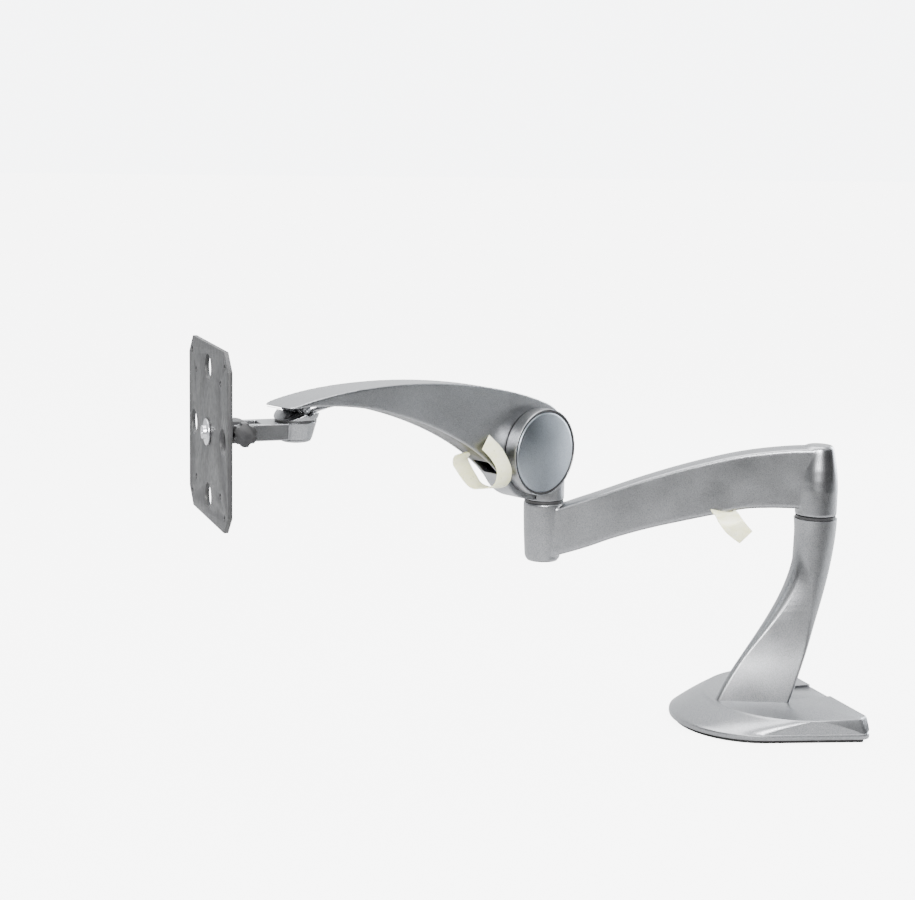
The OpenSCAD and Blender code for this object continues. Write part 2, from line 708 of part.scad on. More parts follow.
module vesa_plate() {
  h = plate_w / 2;
  c = 12;
  color(black) at_tip() difference() {
    translate([plate_x, 0, tilt_z]) rotate([90, 0, 90]) linear_extrude(plate_t) difference() {
      polygon([[-h + c, -h], [h - c, -h], [h, -h + c], [h, h - c], [h - c, h], [-h + c, h],
        [-h, h - c], [-h, -h + c]]);
      for (s = [-1, 1]) {
        translate([s * 44, 0]) circle(r = 9);
        translate([0, s * 44]) circle(r = 9);
      }
    }
    for (d = [37.5, 50], y = [-d, d], z = [-d, d])
      x_rod(y, tilt_z + z, plate_x - 5, plate_x + 10, plate_hole_r);
    x_rod(0, tilt_z, plate_x - 5, plate_x + 10, 5 + run_fit);
  }
}

base_casting();
base_pad();
base_plate();
base_plate_screws();
rear_cover();
column_casting();
column_bolts();
column_bush();
column_ring();
column_set_screw();
column_shaft();
lower_arm_casting();
lower_strap();
elbow_bush();
elbow_ring();
elbow_plug();
elbow_shaft();
elbow_washer();
elbow_screw();
hub_knuckle();
hub_axle();
hub_cap();
hub_cap_seal();
hub_crank();
hub_nut();
lift_spring();
upper_arm_shell();
upper_arm_bushes();
upper_arm_underside();
hub_cover_far();
upper_strap();
tip_pin();
level_link();
link_rear_pin();
link_front_pin();
tip_knuckle();
tip_ring();
swivel_shaft();
swivel_collar();
swivel_bush();
collar_cap();
collar_nut();
tilt_bolt();
tilt_knob();
tilt_washers();
tilt_block();
turn_spigot();
turn_washer();
vesa_plate();
turn_screw();
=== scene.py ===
"""The finished look of the desk monitor arm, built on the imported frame.

Shapes are worked out in millimetres in the same local frames as the part: the column, the lower arm
and the elbow. Each casting gets a smooth, finely rounded mesh that rides on its CAD body.
"""
import json
import math

import bpy
from mathutils import Matrix, Vector


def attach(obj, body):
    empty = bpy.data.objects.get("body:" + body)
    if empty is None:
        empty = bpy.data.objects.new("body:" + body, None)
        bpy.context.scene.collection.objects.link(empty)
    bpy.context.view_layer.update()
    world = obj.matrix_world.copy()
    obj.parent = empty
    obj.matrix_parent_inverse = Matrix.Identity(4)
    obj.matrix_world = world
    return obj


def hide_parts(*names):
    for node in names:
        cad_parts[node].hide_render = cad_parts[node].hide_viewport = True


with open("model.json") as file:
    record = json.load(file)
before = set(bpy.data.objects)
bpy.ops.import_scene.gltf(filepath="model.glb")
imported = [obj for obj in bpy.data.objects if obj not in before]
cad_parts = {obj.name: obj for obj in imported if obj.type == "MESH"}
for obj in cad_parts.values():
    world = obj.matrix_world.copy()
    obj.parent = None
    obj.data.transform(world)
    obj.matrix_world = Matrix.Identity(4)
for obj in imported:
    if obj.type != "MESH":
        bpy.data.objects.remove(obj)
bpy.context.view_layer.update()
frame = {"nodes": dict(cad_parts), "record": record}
MM = 0.001

# ---- sizes, in millimetres -------------------------------------------------------------------

CASTING_Z = 3.0
BASE_TOP = 18.0
BASE_REAR = 12.6
BOLT_Y = -11.0
BOLT_R = 5.25
POCKET_HALF = 15.5
COLUMN_TOP = 155.8
POST_R = 15.8
SHAFT_R = 8.0
SHAFT_TOP = 196.0
BUSH_R = 10.5
BUSH_Z = 122.0
PLUG_R = 12.0
AXLE_R = 6.0
RING_T = 2.3
LOWER_LEN = 209.0
LOWER_HALF = 11.5
LOWER_BOTTOM = 158.4
ELBOW_SEAT = 156.2
POST_BOTTOM = 109.5
NECK_BOTTOM = 158.8
HUB_X = 17.4
HUB_Z = 198.9
EYE_R = 38.0
DRUM_R = 33.5
CHEEK_IN = 5.4
CHEEK_OUT = 16.4
SEAT_Y = 13.2
EYE_W = 22.0
TIP_W = 32.0
WALL = 3.0
TIP_X = 248.0
TIP_Z = 252.2
ARM_MID = 5 - EYE_W / 2


def turn_z(degrees):
    return Matrix.Rotation(math.radians(degrees), 4, "Z")


def shift(x, y, z):
    return Matrix.Translation((x, y, z))


AT_COLUMN = Matrix.Identity(4)
AT_LOWER_ARM = turn_z(-120.5)
AT_ELBOW_POST = AT_LOWER_ARM @ shift(LOWER_LEN, 0, 0)
AT_ELBOW = AT_ELBOW_POST @ turn_z(55.5)

# ---- curves ----------------------------------------------------------------------------------


def ease(x):
    x = min(max(x, 0.0), 1.0)
    return x * x * (3 - 2 * x)


def bezier(p, t):
    s = 1 - t
    weights = (s * s * s, 3 * s * s * t, 3 * s * t * t, t * t * t)
    return tuple(sum(w * q[i] for w, q in zip(weights, p)) for i in range(2))


def bezier_line(p, count):
    return [bezier(p, i / count) for i in range(count + 1)]


def through(points, steps):
    """A smooth line through given points."""
    line = []
    last = len(points) - 1
    for i in range(last):
        a, b = points[max(i - 1, 0)], points[i]
        c, d = points[i + 1], points[min(i + 2, last)]
        for k in range(steps):
            t = k / steps
            line.append(tuple(
                0.5 * (2 * q + (r - p) * t + (2 * p - 5 * q + 4 * r - s) * t * t
                       + (3 * q - p - 3 * r + s) * t ** 3)
                for p, q, r, s in zip(a, b, c, d)))
    return line + [tuple(points[last])]


def height_at(line, x):
    """Second value of a line at its first value x."""
    for a, b in zip(line, line[1:]):
        low, high = min(a[0], b[0]), max(a[0], b[0])
        if low <= x <= high and high > low:
            return a[1] + (b[1] - a[1]) * (x - a[0]) / (b[0] - a[0])
    return min(line, key=lambda p: abs(p[0] - x))[1]


def hull_outline(circles, count):
    """Outline of the hull of some circles (x, y, r), as points at even directions."""
    ring = []
    for i in range(count):
        a = 2 * math.pi * (i + 0.5) / count
        c = max(circles, key=lambda q: q[0] * math.cos(a) + q[1] * math.sin(a) + q[2])
        ring.append((c[0] + c[2] * math.cos(a), c[1] + c[2] * math.sin(a)))
    return ring


# ---- mesh helpers ----------------------------------------------------------------------------


def add_mesh(name, verts, faces, place=AT_COLUMN):
    mesh = bpy.data.meshes.new(name)
    mesh.from_pydata([(place @ Vector(v)) * MM for v in verts], [], faces)
    mesh.update()
    obj = bpy.data.objects.new(name, mesh)
    bpy.context.scene.collection.objects.link(obj)
    return obj


def loft(name, rings, place=AT_COLUMN):
    """A closed solid through rings that all have the same count."""
    n = len(rings[0])
    last = (len(rings) - 1) * n
    verts = [v for ring in rings for v in ring]
    faces = [tuple(reversed(range(n)))]
    for j in range(len(rings) - 1):
        for i in range(n):
            a, b = j * n + i, j * n + (i + 1) % n
            faces.append((a, b, b + n, a + n))
    faces.append(tuple(range(last, last + n)))
    return add_mesh(name, verts, faces, place)


def lathe(name, profile, place=AT_COLUMN, count=144):
    """A solid turned about local Z from (radius, z) points, lowest first."""
    rings = [[(max(r, 0.01) * math.cos(a), max(r, 0.01) * math.sin(a), z)
              for a in (2 * math.pi * i / count for i in range(count))]
             for r, z in profile]
    return loft(name, rings, place)


def rod(name, x, z, y0, y1, r, place, count=144):
    """A cylinder along local Y."""
    ring = [(x + r * math.cos(a), z + r * math.sin(a))
            for a in (2 * math.pi * i / count for i in range(count))]
    return prism(name, ring, y0, y1, place)


def prism(name, outline, y0, y1, place):
    """An outline of (x, z) points, anticlockwise, given a thickness along local Y."""
    return loft(name, [[(x, y1, z) for x, z in outline], [(x, y0, z) for x, z in outline]], place)


def slab(name, outline, z0, z1, place):
    """An outline of (x, y) points, anticlockwise, given a height."""
    return loft(name, [[(x, y, z0) for x, y in outline], [(x, y, z1) for x, y in outline]], place)


def block(name, low, high, place):
    (x0, y0, z0), (x1, y1, z1) = low, high
    return slab(name, [(x0, y0), (x1, y0), (x1, y1), (x0, y1)], z0, z1, place)


def settle(obj):
    """Turns an object's modifiers into its mesh."""
    graph = bpy.context.evaluated_depsgraph_get()
    mesh = bpy.data.meshes.new_from_object(obj.evaluated_get(graph))
    obj.modifiers.clear()
    obj.data = mesh
    return obj


def combine(obj, tools, operation):
    for tool in tools:
        step = obj.modifiers.new("combine", "BOOLEAN")
        step.operation = operation
        step.solver = "MANIFOLD"
        step.object = tool
        settle(obj)
        bpy.data.objects.remove(tool)
    return obj


def as_cast(obj, voxel, passes):
    """Rounds every edge of a solid a little, and fillets its inner corners."""
    remesh = obj.modifiers.new("remesh", "REMESH")
    remesh.mode = "VOXEL"
    remesh.voxel_size = voxel * MM
    smooth = obj.modifiers.new("smooth", "SMOOTH")
    smooth.factor = 0.5
    smooth.iterations = passes
    return settle(obj)


def bevelled(obj, width, segments=2):
    bevel = obj.modifiers.new("bevel", "BEVEL")
    bevel.width = width * MM
    bevel.segments = segments
    bevel.limit_method = "ANGLE"
    bevel.angle_limit = math.radians(35)
    bevel.use_clamp_overlap = True
    return settle(obj)


def shade(obj, angle=40):
    for polygon in obj.data.polygons:
        polygon.use_smooth = True
    if angle:
        obj.data.set_sharp_from_angle(angle=math.radians(angle))


def show(obj, body, material, nodes=(), angle=40):
    """Gives a finished piece its shading, finish and body."""
    shade(obj, angle)
    obj.data.materials.clear()
    obj.data.materials.append(material)
    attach(obj, body)
    if nodes:
        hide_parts(*nodes)
    return obj


def copy_of(node):
    """A welded copy of a CAD node's mesh, with its flat faces made whole."""
    source = frame["nodes"][node]
    obj = bpy.data.objects.new("fine_" + node, source.data.copy())
    bpy.context.scene.collection.objects.link(obj)
    weld = obj.modifiers.new("weld", "WELD")
    weld.merge_threshold = 0.00001
    flat = obj.modifiers.new("flat", "DECIMATE")
    flat.decimate_type = "DISSOLVE"
    flat.angle_limit = math.radians(1)
    return settle(obj)


# ---- materials -------------------------------------------------------------------------------


class Finish:
    """A procedural material: a shader and the few nodes that vary it over the surface."""

    def __init__(self, name, color, metallic, roughness):
        self.material = bpy.data.materials.new(name)
        self.material.use_nodes = True
        self.tree = self.material.node_tree
        self.shader = self.tree.nodes["Principled BSDF"]
        self.shader.inputs["Base Color"].default_value = (*color, 1)
        self.shader.inputs["Metallic"].default_value = metallic
        self.shader.inputs["Roughness"].default_value = roughness
        self.place = self.tree.nodes.new("ShaderNodeTexCoord").outputs["Object"]

    def join(self, a, b):
        self.tree.links.new(a, b)

    def noise(self, scale, detail=3.0, stretch=(1, 1, 1)):
        mapping = self.tree.nodes.new("ShaderNodeMapping")
        mapping.inputs["Scale"].default_value = stretch
        self.join(self.place, mapping.inputs["Vector"])
        node = self.tree.nodes.new("ShaderNodeTexNoise")
        node.inputs["Scale"].default_value = scale
        node.inputs["Detail"].default_value = detail
        self.join(mapping.outputs["Vector"], node.inputs["Vector"])
        return node.outputs["Fac"]

    def between(self, fac, low, high, start=0.3, end=0.7):
        """Maps a texture to values from low to high."""
        node = self.tree.nodes.new("ShaderNodeMapRange")
        node.inputs["From Min"].default_value = start
        node.inputs["From Max"].default_value = end
        node.inputs["To Min"].default_value = low
        node.inputs["To Max"].default_value = high
        self.join(fac, node.inputs["Value"])
        return node.outputs["Result"]

    def rough(self, fac, low, high):
        self.join(self.between(fac, low, high), self.shader.inputs["Roughness"])

    def tint(self, fac, dark, light, start=0.3, end=0.7):
        ramp = self.tree.nodes.new("ShaderNodeValToRGB")
        ramp.color_ramp.elements[0].position = start
        ramp.color_ramp.elements[0].color = (*dark, 1)
        ramp.color_ramp.elements[1].position = end
        ramp.color_ramp.elements[1].color = (*light, 1)
        self.join(fac, ramp.inputs["Fac"])
        self.join(ramp.outputs["Color"], self.shader.inputs["Base Color"])

    def bump(self, fac, strength, distance):
        node = self.tree.nodes.new("ShaderNodeBump")
        node.inputs["Strength"].default_value = strength
        node.inputs["Distance"].default_value = distance
        self.join(fac, node.inputs["Height"])
        self.join(node.outputs["Normal"], self.shader.inputs["Normal"])


def painted_silver(name, dark, light, roughness):
    """Metallic paint: a fine sparkle, slow change of tone and a light skin of orange peel."""
    f = Finish(name, light, 1.0, roughness)
    f.tint(f.noise(1700, 2.0), dark, light, 0.35, 0.65)
    f.rough(f.noise(35, 4.0), roughness - 0.04, roughness + 0.05)
    f.bump(f.noise(1100, 3.0), 0.16, 0.0002)
    return f.material


def moulded_black(name, level, roughness, grain):
    f = Finish(name, (level,) * 3, 0.0, roughness)
    f.tint(f.noise(90, 3.0), (level * 0.8,) * 3, (level * 1.3, level * 1.3, level * 1.4))
    f.rough(f.noise(240, 2.0), roughness - 0.06, roughness + 0.06)
    f.bump(f.noise(grain, 4.0), 0.3, 0.0001)
    return f.material


def plated_steel():
    f = Finish("plated_steel", (0.6, 0.61, 0.63), 1.0, 0.3)
    f.tint(f.noise(60, 3.0), (0.5, 0.51, 0.54), (0.66, 0.66, 0.66))
    f.rough(f.noise(400, 3.0, (1, 1, 14)), 0.22, 0.42)
    f.bump(f.noise(900, 2.0, (1, 1, 10)), 0.1, 0.00005)
    return f.material


def sintered_bronze():
    f = Finish("sintered_bronze", (0.55, 0.4, 0.2), 1.0, 0.4)
    f.tint(f.noise(700, 3.0), (0.3, 0.2, 0.1), (0.6, 0.44, 0.24))
    f.rough(f.noise(150, 2.0), 0.35, 0.5)
    f.bump(f.noise(2400, 2.0), 0.3, 0.00005)
    return f.material


def cream_nylon():
    """Milky nylon that lets some light through, with faint flow lines along the strip."""
    f = Finish("cream_nylon", (0.9, 0.9, 0.74), 0.0, 0.32)
    f.tint(f.noise(120, 2.0, (1, 1, 3)), (0.9, 0.88, 0.55), (0.98, 0.96, 0.72))
    f.shader.inputs["Subsurface Weight"].default_value = 0.35
    f.shader.inputs["Subsurface Radius"].default_value = (0.004, 0.004, 0.003)
    f.shader.inputs["Transmission Weight"].default_value = 0.12
    f.rough(f.noise(300, 2.0), 0.26, 0.4)
    f.bump(f.noise(220, 2.0, (1, 1, 5)), 0.15, 0.0002)
    return f.material


SILVER = painted_silver("silver_paint", (0.19, 0.193, 0.2), (0.31, 0.314, 0.324), 0.33)
CAP = painted_silver("cap_paint", (0.22, 0.24, 0.265), (0.32, 0.35, 0.385), 0.36)
PLASTIC = moulded_black("black_moulding", 0.02, 0.42, 1500)
POWDER = moulded_black("black_powder_coat", 0.025, 0.5, 2600)
RUBBER = moulded_black("pad_rubber", 0.014, 0.75, 800)
STEEL = plated_steel()
BRONZE = sintered_bronze()
CREAM = cream_nylon()

# ---- base and column -------------------------------------------------------------------------


def base_circles(grow):
    return [(0, -48, 62 + grow), (70, 6, 7 + grow), (-70, 6, 7 + grow)]


def ridge_circles(grow):
    return [(0, -11, 70 + grow), (65, 3, 7 + grow), (-65, 3, 7 + grow)]


def ring_at(circles, z, count=216):
    return [(x, y, z) for x, y in hull_outline(circles, count)]


def base_casting():
    top = BASE_TOP
    rim = ring_at(base_circles(-1), CASTING_Z + 4.6)
    ridge = ring_at(ridge_circles(0), top - 0.7)
    flank = []
    for k in range(1, 10):
        t = k / 10
        swell = Vector((0, 0, 0.7 * math.sin(math.pi * t)))
        flank.append([Vector(a).lerp(Vector(b), t) + swell for a, b in zip(rim, ridge)])
    rings = [ring_at(base_circles(-1.2), CASTING_Z), ring_at(base_circles(-0.3), CASTING_Z + 0.5),
             ring_at(base_circles(0), CASTING_Z + 1.4), ring_at(base_circles(0), CASTING_Z + 3),
             ring_at(base_circles(-0.3), CASTING_Z + 4), rim, *flank, ridge,
             ring_at(ridge_circles(-0.45), top - 0.3), ring_at(ridge_circles(-1.3), top)]
    base = loft("base_body", rings)
    pocket = block("pocket", (-POCKET_HALF, -22, CASTING_Z + 4), (POCKET_HALF, 90, 40), AT_COLUMN)
    bolt = lathe("bolt_hole", [(BOLT_R, 0), (BOLT_R, 30)], shift(0, BOLT_Y, 0))
    behind = block("behind", (-100, BASE_REAR, 0), (100, 100, 40), AT_COLUMN)
    combine(base, [pocket, bolt, behind], "DIFFERENCE")
    return show(base, "base", SILVER, ["base_casting"], 28)


NECK_R = POST_R + 0.6
FOOT_HALF = 22.0
FRONT_R = 3.6
REAR_R = 2.5
FRONT_CURVE = [(-78, BASE_TOP), (-60, 60), (-4.2, 97), (-NECK_R, COLUMN_TOP)]
REAR_CURVE = [(-26, BASE_TOP), (-8.6, 65), (13.3, 107), (NECK_R, COLUMN_TOP)]
FRONT_EDGE = [(z, y) for y, z in bezier_line(FRONT_CURVE, 160)]
REAR_EDGE = [(z, y) for y, z in bezier_line(REAR_CURVE, 160)]


def column_circles(z):
    """Section of the column at a height: narrow in front, wide behind and round at the neck."""
    front, rear = height_at(FRONT_EDGE, z), height_at(REAR_EDGE, z)
    half = (rear - front) / 2
    wide = FOOT_HALF - (FOOT_HALF - NECK_R) * ease((z - BASE_TOP) / 65)
    front_r = FRONT_R + (half - FRONT_R) * ease((z - 45) / 100)
    rear_r = min(REAR_R + (half - REAR_R) * ease((z - 50) / 90), wide)
    side = wide - rear_r
    return [(0, front + front_r, front_r), (side, rear - rear_r, rear_r), (-side, rear - rear_r, rear_r)]


def column_casting():
    count = 110
    heights = [BASE_TOP + (COLUMN_TOP - BASE_TOP) * i / count for i in range(count + 1)]
    column = loft("column_body", [ring_at(column_circles(z), z, 180) for z in heights])
    bore = lathe("bore", [(BUSH_R, BUSH_Z), (BUSH_R, COLUMN_TOP + 10)])
    combine(column, [bore], "DIFFERENCE")
    return show(column, "base", SILVER, ["column_casting"], 50)


def collar_ring(name, node, z, place, body):
    """Dark ring in the gap under a post, set back a little with round edges."""
    inner, outer, top = SHAFT_R + 0.4, POST_R - 0.5, z + RING_T
    profile = [(inner, z), (outer - 0.3, z), (outer, z + 0.2), (outer, top - 0.2), (outer - 0.3, top),
               (inner, top)]
    ring = lathe(name, profile, place)
    combine(ring, [lathe("bore", [(inner, z - 1), (inner, top + 1)], place)], "DIFFERENCE")
    return show(ring, body, PLASTIC, [node])


# ---- lower arm -------------------------------------------------------------------------------

LOWER_TOP = through([(-9, 210.4), (21.5, 208.6), (57, 202.8), (93, 192.8), (129, 180.3), (165.5, 165.6),
                     (184, 158.3), (212, 147)], 14)
LOWER_UNDER = through([(0, 163.8), (20, 163.4), (37, 162.6), (55, 160.5), (82, 153.5), (100, 148.6),
                       (118, 143.6), (136.5, 137.7), (155, 131), (173, 123.5), (192, 116.7),
                       (212, 110.5)], 10)


def arm_section(s):
    """Rounded section of the lower arm, crowned on top."""
    half = LOWER_HALF
    top, under = height_at(LOWER_TOP, s), height_at(LOWER_UNDER, s)
    r_top, r_low = 1.7, 2.6
    ring = []
    for k in range(9):
        a = math.pi / 2 * k / 8
        ring.append((s, -half + r_low - r_low * math.sin(a), under + r_low - r_low * math.cos(a)))
    for k in range(9):
        a = math.pi / 2 * k / 8
        ring.append((s, -half + r_top - r_top * math.cos(a), top - r_top + r_top * math.sin(a)))
    for k in range(1, 12):
        t = -1 + 2 * k / 12
        ring.append((s, (half - r_top) * t, top + 1.5 * (1 - t * t)))
    mirrored = [(x, -y, z) for x, y, z in reversed(ring[:18])]
    return list(reversed(ring + mirrored))


def lower_arm_casting():
    count = 120
    stations = [3 + (LOWER_LEN - 6) * i / count for i in range(count + 1)]
    arm = loft("lower_arm_body", [arm_section(s) for s in stations], AT_LOWER_ARM)
    boss_side = [(POST_R - 0.5, LOWER_BOTTOM), (POST_R, LOWER_BOTTOM + 0.6), (POST_R, 178), (15.3, 186),
                 (14.3, 194), (13, 201), (12, 207), (11.3, 210.2), (9.5, 212), (0, 212.2)]
    post_side = [(10.2, POST_BOTTOM), (12.2, POST_BOTTOM + 0.6), (13.4, POST_BOTTOM + 2), (14.0, 114),
                 (14.5, 122), (15.1, 132), (15.6, 146), (POST_R, ELBOW_SEAT - 0.5),
                 (POST_R - 0.4, ELBOW_SEAT)]
    boss = lathe("boss", boss_side, AT_LOWER_ARM)
    post = lathe("post", post_side, AT_ELBOW_POST)
    combine(arm, [boss, post], "UNION")
    as_cast(arm, 0.75, 9)
    combine(arm, [
        lathe("over", [(POST_R + 0.5, ELBOW_SEAT), (POST_R + 0.5, 200)], AT_ELBOW_POST),
        lathe("shaft_bore", [(SHAFT_R, 150), (SHAFT_R, SHAFT_TOP)], AT_LOWER_ARM),
        lathe("bush_bore", [(BUSH_R, 115), (BUSH_R, 190)], AT_ELBOW_POST),
        lathe("plug_recess", [(PLUG_R, 100), (PLUG_R, 118)], AT_ELBOW_POST)], "DIFFERENCE")
    return show(arm, "lower_arm", SILVER, ["lower_arm_casting"], 50)


# Points along the cable straps. The lower one hangs free at its last point, and the upper one is a loop.
LOWER_STRAP_PATH = [(70, 7, 158.5), (69, 11, 158), (66, 14.5, 156), (61, 17, 150), (55.5, 16.5, 144.5),
                    (51, 15.5, 140.5)]
UPPER_STRAP_PATH = [(81, -9, 202), (77, -15, 193), (66, -9, 176), (58, 6, 176), (60, 13.6, 188),
                    (65, 11.5, 201), (75, 8, 212)]


def strap(name, node, path, width, thickness, side, place, body):
    """A flat nylon strip bent along a path, with rounded edges. Its width is a function of 0 to 1."""
    line = [Vector(p) for p in through(path, 12)]
    last = len(line) - 1
    rings = []
    for i, p in enumerate(line):
        along = (line[min(i + 1, last)] - line[max(i - 1, 0)]).normalized()
        across = (Vector(side) - Vector(side).dot(along) * along).normalized()
        up = along.cross(across)
        w, t = width(i / last) / 2, thickness / 2
        ring = []
        for k in range(20):
            a = 2 * math.pi * k / 20
            reach = w - t if math.cos(a) >= 0 else t - w
            ring.append(p + across * (reach + t * math.cos(a)) + up * (t * math.sin(a)))
        rings.append(ring)
    return show(loft(name, rings, place), body, CREAM, [node], 0)


# ---- hub -------------------------------------------------------------------------------------


def hub_knuckle():
    knuckle = rod("hub_body", HUB_X, HUB_Z, CHEEK_IN, CHEEK_OUT, DRUM_R, AT_ELBOW, 240)
    r = POST_R
    neck = lathe("neck", [(r, NECK_BOTTOM), (r, NECK_BOTTOM + 25)], AT_ELBOW)
    eye = rod("eye", HUB_X, HUB_Z, -40, CHEEK_IN - 0.1, EYE_R + 0.5, AT_ELBOW, 240)
    combine(neck, [eye], "DIFFERENCE")
    web = block("web", (-r + 0.3, CHEEK_IN, NECK_BOTTOM + 8),
                (-r + 50.3, CHEEK_OUT - 3, NECK_BOTTOM + 40), AT_ELBOW)
    rise = AT_ELBOW @ shift(HUB_X, 0, HUB_Z) @ Matrix.Rotation(math.radians(42), 4, "Y")
    keep = lathe("keep_neck", [(r - 0.1, NECK_BOTTOM), (r - 0.1, NECK_BOTTOM + 50)], AT_ELBOW)
    combine(keep, [rod("keep_drum", HUB_X, HUB_Z, 0, 40, DRUM_R - 0.1, AT_ELBOW)], "UNION")
    combine(web, [keep], "INTERSECT")
    combine(web, [block("slope", (-10, 0, -100), (50, 40, 0), rise)], "DIFFERENCE")
    combine(knuckle, [neck, web], "UNION")
    combine(knuckle, [
        rod("seat", HUB_X, HUB_Z, SEAT_Y, 30, DRUM_R - 0.8, AT_ELBOW, 240),
        rod("axle_bore", HUB_X, HUB_Z, 0, 30, AXLE_R, AT_ELBOW)], "DIFFERENCE")
    as_cast(knuckle, 0.5, 3)
    return show(knuckle, "hub", SILVER, ["hub_knuckle"], 60)


AT_DRUM_SEAT = AT_ELBOW @ shift(HUB_X, SEAT_Y, HUB_Z) @ Matrix.Rotation(math.radians(-90), 4, "X")


def hub_cap():
    """Domed disc in the drum, with a soft rim."""
    r = DRUM_R - 2.5
    dome_r, edge_h, dome_h = r - 1.1, 3.2, 5.6
    profile = [(r, 0), (r, 1.9), (r - 0.15, 2.5), (r - 0.5, 2.95), (dome_r, edge_h)]
    for k in range(1, 25):
        x = dome_r * (1 - k / 24)
        profile.append((x, dome_h - (dome_h - edge_h) * (x / dome_r) ** 2))
    disc = lathe("hub_disc", profile, AT_DRUM_SEAT, 216)
    return show(disc, "hub", CAP, ["hub_cap"], 50)


def hub_cap_seal():
    """Black ring that fills the gap between the disc and the drum: painted shade, a dark part standing in
    for the shadow in the gap.
    """
    inner, outer = DRUM_R - 2.9, DRUM_R - 0.6
    ring = lathe("gap_shade_ring", [(outer, 0.1), (outer, 2.1)], AT_DRUM_SEAT, 216)
    combine(ring, [lathe("inner", [(inner, -1), (inner, 4)], AT_DRUM_SEAT, 216)], "DIFFERENCE")
    # the black finish on this ring is painted shade for the shadow in the gap around the disc
    return show(ring, "hub", PLASTIC, ["hub_cap_seal"], 40)


def hub_cover_far():
    place = AT_ELBOW @ shift(HUB_X, 5 - EYE_W, HUB_Z) @ Matrix.Rotation(math.radians(90), 4, "X")
    profile = [(31, 0), (31, 2.2), (30.6, 3.2), (29.6, 4.4), (27.4, 5.4), (24, 6.3), (19, 7.1),
               (14, 7.6), (8, 8), (0, 8.2)]
    cover = lathe("far_cover", profile, place, 216)
    combine(cover, [lathe("inside", [(13, -1), (13, 6.8)], place)], "DIFFERENCE")
    return show(cover, "upper_arm", CAP, ["hub_cover_far"], 40)


# ---- upper arm -------------------------------------------------------------------------------


def on_eye(degrees, r):
    a = math.radians(degrees)
    return (HUB_X + r * math.cos(a), HUB_Z + r * math.sin(a))


UPPER_TOP = bezier_line([on_eye(112, EYE_R), (HUB_X + 50.6, HUB_Z + 61.4), (TIP_X - 54, TIP_Z + 20.7),
                         (TIP_X + 20, TIP_Z + 1.8)], 90)
UPPER_UNDER = bezier_line([on_eye(-38, EYE_R), (HUB_X + 51.6, HUB_Z + 8.6), (TIP_X - 84, TIP_Z + 2.2),
                           (TIP_X + 8, TIP_Z + 2.3)], 90)


def upper_plan(inset):
    """Outline of the upper arm from above: it widens to the tip, which has round corners."""
    eye, tip = EYE_W / 2 - inset, TIP_W / 2 - inset
    r = 12
    cx, cy = TIP_X + 20 - inset - r, tip - r
    corner = [(math.radians(90 * k / 16 - 90), -1) for k in range(17)]
    corner += [(math.radians(90 * k / 16), 1) for k in range(17)]
    outline = [(-60, -eye), (HUB_X + 30, -eye), (TIP_X - 20, -tip)]
    outline += [(cx + r * math.cos(a), side * cy + r * math.sin(a)) for a, side in corner]
    outline += [(TIP_X - 20, tip), (HUB_X + 30, eye), (-60, eye)]
    return [(x, y + ARM_MID) for x, y in outline]


def upper_solid(name, eye_r, top, under, inset):
    """Eye disc and tapered arm together, cut to the outline from above."""
    disc = rod(name, HUB_X, HUB_Z, -60, 60, eye_r, AT_ELBOW, 240)
    side = [(HUB_X, HUB_Z)] + list(under) + list(reversed(top))
    combine(disc, [prism("side", side, -60, 60, AT_ELBOW)], "UNION")
    combine(disc, [slab("plan", upper_plan(inset), 0, 400, AT_ELBOW)], "INTERSECT")
    return disc


def upper_arm_shell():
    arm = upper_solid("upper_arm_body", EYE_R, UPPER_TOP, UPPER_UNDER, 0)
    top = [(x - WALL, z - WALL - 0.4) for x, z in UPPER_TOP]
    under = [(x + WALL, z - 8) for x, z in UPPER_UNDER[12:]] + [(TIP_X + 17, TIP_Z - 30)]
    combine(arm, [upper_solid("inside", EYE_R - WALL, top, under, WALL)], "DIFFERENCE")
    combine(arm, [rod("axle_hole", HUB_X, HUB_Z, -40, 40, AXLE_R + 2, AT_ELBOW)], "DIFFERENCE")
    ears = []
    ear_r, ear_half = 3.4, 1.6
    for side in (-1, 1):
        y = ARM_MID + side * 10.6
        y0, y1 = y - ear_half, y + ear_half
        ears.append(rod("ear", TIP_X, TIP_Z, y0, y1, ear_r, AT_ELBOW, 48))
        ears.append(block("ear_root", (TIP_X - ear_r, y0, TIP_Z), (TIP_X + ear_r, y1, TIP_Z + 5),
                          AT_ELBOW))
    combine(arm, ears, "UNION")
    groove = rod("pin_groove", TIP_X, TIP_Z, ARM_MID - 8.9, ARM_MID + 8.9, 3.5, AT_ELBOW, 48)
    combine(arm, [groove], "DIFFERENCE")
    as_cast(arm, 0.7, 4)
    return show(arm, "upper_arm", SILVER, ["upper_arm_shell"], 60)


# ---- tip and head ----------------------------------------------------------------------------


def rounded_copy(node, body, material, voxel=0.45, passes=4):
    return show(as_cast(copy_of(node), voxel, passes), body, material, [node], 60)


def edged_copy(node, body, material, width):
    return show(bevelled(copy_of(node), width), body, material, [node], 35)


# ---- everything ------------------------------------------------------------------------------


